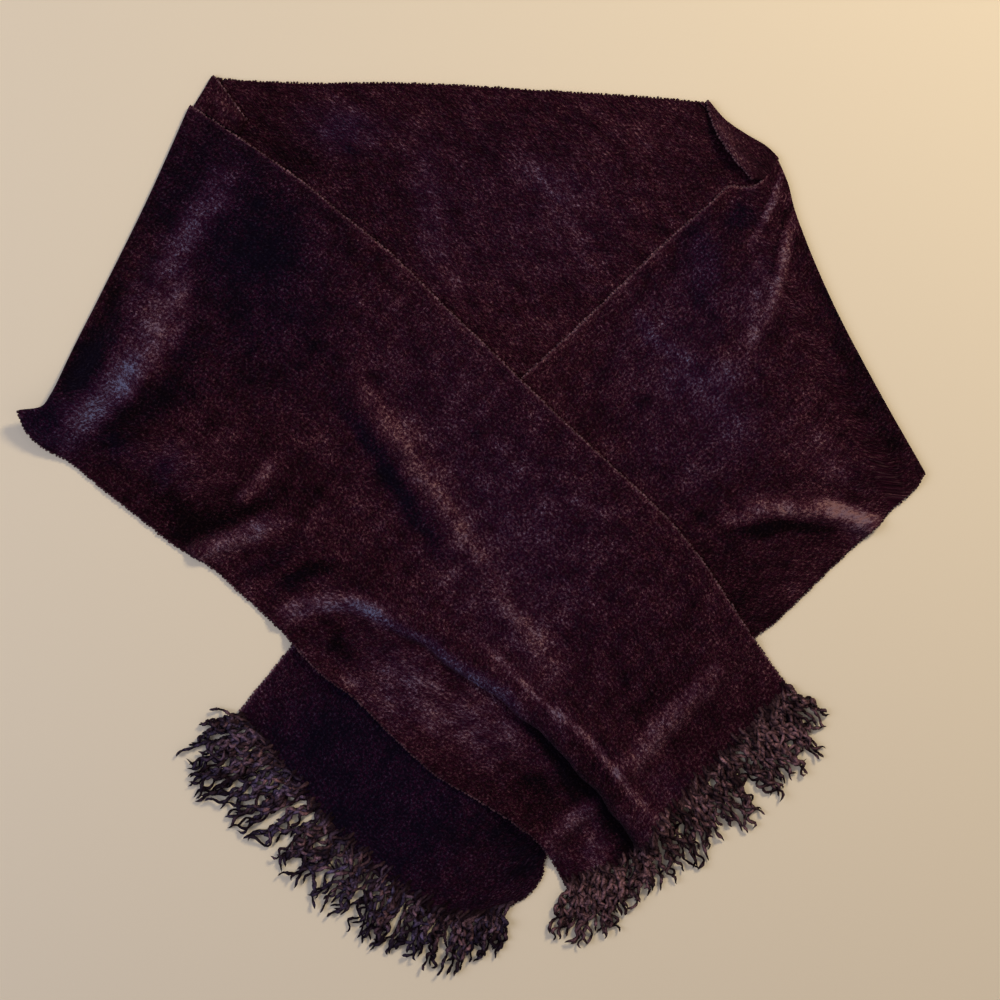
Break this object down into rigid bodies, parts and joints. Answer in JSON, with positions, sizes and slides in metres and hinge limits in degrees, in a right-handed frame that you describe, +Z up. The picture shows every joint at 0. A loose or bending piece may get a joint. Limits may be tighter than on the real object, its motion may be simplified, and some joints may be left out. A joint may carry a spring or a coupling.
{
  "type": "chenille scarf",
  "caption": "Dark velvety chenille scarf laid flat, folded near each end so that its two fringed arms cross",
  "frame": {"origin": "Middle of the scarf's footprint, on the surface that it lies on.", "axes": "+Z is up from the surface. +Y points towards the back stretch, and +X towards the fold of the under arm."},
  "size_m": [0.7298, 0.7212, 0.017],
  "materials": {
    "chenille": "deep aubergine brown cut pile, matt along the nap with a soft bluish sheen on ridges",
    "fringe_yarn": "dark grey-brown chenille yarn, curly and matt"
  },
  "bodies": {
    "root": {"back_stretch": "chenille", "under_arm": "chenille", "over_arm": "chenille", "left_tuck": "chenille", "right_tuck": "chenille", "under_fringe": "fringe_yarn", "over_fringe": "fringe_yarn"}
  },
  "joints": []
}
